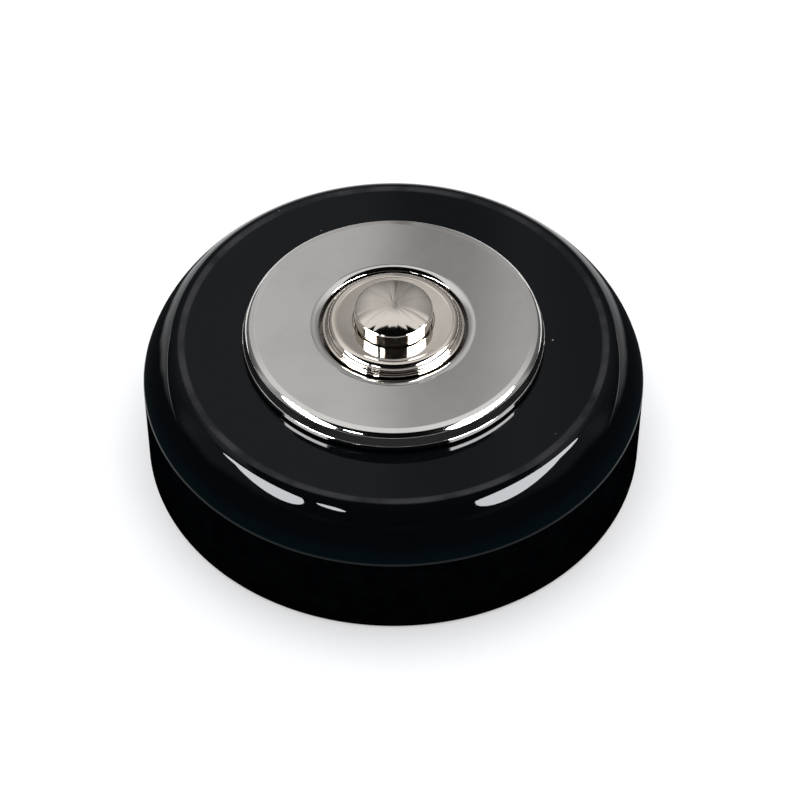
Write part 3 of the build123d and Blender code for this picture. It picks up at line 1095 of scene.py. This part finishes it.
# Floor: a wide sheet of pale paper that the object lies on. It is a little lightened to the camera and in
# reflections, and keeps the object's shadow.
paper_white = (0.92, 0.92, 0.92, 1)
paper_glow = 0.45
floor_shape = bmesh.new()
bmesh.ops.create_grid(floor_shape, x_segments=1, y_segments=1, size=8.0)
paper, paper_shader, place = finish("pale_paper", Specular_IOR_Level=0.0, Roughness=0.9)
paper_shader.inputs["Base Color"].default_value = paper_white
seen, mirrored, through = [
    place.node("LightPath", output=kind) for kind in ("Is Camera Ray", "Is Glossy Ray", "Is Transmission Ray")
]
seen = seen.math("MAXIMUM", mirrored).math("MAXIMUM", through)
glow = seen.node("Emission", None, {"Strength": 1.0})
plain = Shade(paper.node_tree, paper_shader.outputs[0])
lit = seen.node("MixShader", None, {0: seen * paper_glow, 1: plain, 2: glow})
lit.feed(paper.node_tree.nodes["Material Output"], "Surface")
floor = piece("floor", [floor_shape], paper)

# Studio: a long soft box at each side of the camera and a small strip beside the left one, a soft overhead
# light that the metal doesn't mirror, and a dim room that grows lighter towards the top of its far wall.
box_distance = 1.2
box_radiance = 46.0
overhead_radiance = 4.0
lamp_white = (0.95, 0.965, 1.0)
near_wall_light = 0.36
least_light = 0.003


def toward(azimuth, elevation, distance):
    """A place seen from the object, with azimuth from the camera's side to the right."""
    across, up = math.radians(azimuth), math.radians(elevation)
    return Vector((math.sin(across) * math.cos(up), -math.cos(across) * math.cos(up), math.sin(up))) * distance


def soft_box(name, shape, place, width, height, radiance, turn=0):
    """A lamp that faces the object, turned about its own middle by some degrees."""
    lamp = bpy.data.lights.new(name, "AREA")
    lamp.shape = shape
    lamp.size = width
    lamp.size_y = height
    lamp.color = lamp_white
    lamp.energy = radiance * math.pi * width * height * (math.pi / 4 if shape == "ELLIPSE" else 1)
    holder = bpy.data.objects.new(name, lamp)
    holder.location = place
    holder.rotation_euler = place.to_track_quat("Z", "Y").to_euler()
    holder.rotation_euler.rotate_axis("Z", math.radians(turn))
    bpy.context.collection.objects.link(holder)
    holder.visible_camera = False
    return holder


for name, azimuth, elevation, width, height, turn in (
    ("left_box", -65, 41.5, 0.88, 0.47, -22),
    ("right_box", 69, 44, 1.12, 0.62, 19),
    ("left_strip", -30, 43.5, 0.24, 0.10, -15),
):
    place = toward(azimuth, elevation, box_distance)
    soft_box(name, "ELLIPSE", place, width, height, box_radiance, turn).visible_diffuse = False
overhead = soft_box("overhead", "RECTANGLE", Vector((0, 0.2, 2.2)), 2.4, 2.4, overhead_radiance)
overhead.visible_glossy = False

room = bpy.data.worlds.new("room")
room.use_nodes = True
bpy.context.scene.world = room
background = room.node_tree.nodes["Background"]
background.inputs["Color"].default_value = (1, 1, 1, 1)
way = Shade(room.node_tree, room.node_tree.nodes.new("ShaderNodeTexCoord").outputs["Generated"])
x, y, z = way.split()
low_wall = way.node(
    "ValToRGB",
    {
        "stops": [
            (0.05, 0.36),
            (0.95, 0.34),
            (0.20, 0.40),
            (0.34, 0.72),
            (0.45, 0.66),
            (0.494, 0.60),
            (0.505, 0.31),
            (0.520, 0.32),
            (0.530, 0.54),
            (0.545, 0.40),
            (0.66, 0.55),
            (0.80, 0.36),
        ]
    },
    {"Fac": x + 0.5},
) * (z.ease(-0.1, 0.3) * (0.45 + 0.55 * z.ease(0.35, 0.7)))
rise = z.ease(0.72, 0.84)
wall = low_wall + rise * (0.98 - low_wall)
horizon = z.ease(0.035, 0.02) * z.ease(0.0, 0.01) * 3.0
near_wall = y.ease(0.2, -0.05) * z.ease(0.5, 0.36)
side_wall = x.math("ABSOLUTE").ease(0.6, 0.85) * y.ease(0.35, 0.15) * z.ease(0.8, 0.66)
room_light = y.ease(0.0, 0.25) * (wall * z.ease(0.894, 0.884) + horizon)
(room_light + near_wall.math("MAXIMUM", side_wall) * near_wall_light + least_light).feed(background, "Strength")

# Camera: at the photograph's height and distance, with a long lens, aimed a little below the middle of
# the object's height.
camera_elevation = 48.1
camera_distance = 720.0 * mm
orbit_height = 12.0 * mm
aim_height = 11.4 * mm
camera_data = bpy.data.cameras.new("camera")
camera_data.sensor_width = 36.0
camera_data.lens = 192.7
camera_data.clip_start = 0.01
camera = bpy.data.objects.new("camera", camera_data)
camera.location = Vector((0, 0, orbit_height)) + toward(0, camera_elevation, camera_distance)
line_of_sight = camera.location - Vector((0, 0, aim_height))
camera.rotation_euler = line_of_sight.to_track_quat("Z", "Y").to_euler()
bpy.context.collection.objects.link(camera)
bpy.context.scene.camera = camera
bpy.context.scene.view_settings.view_transform = "Standard"
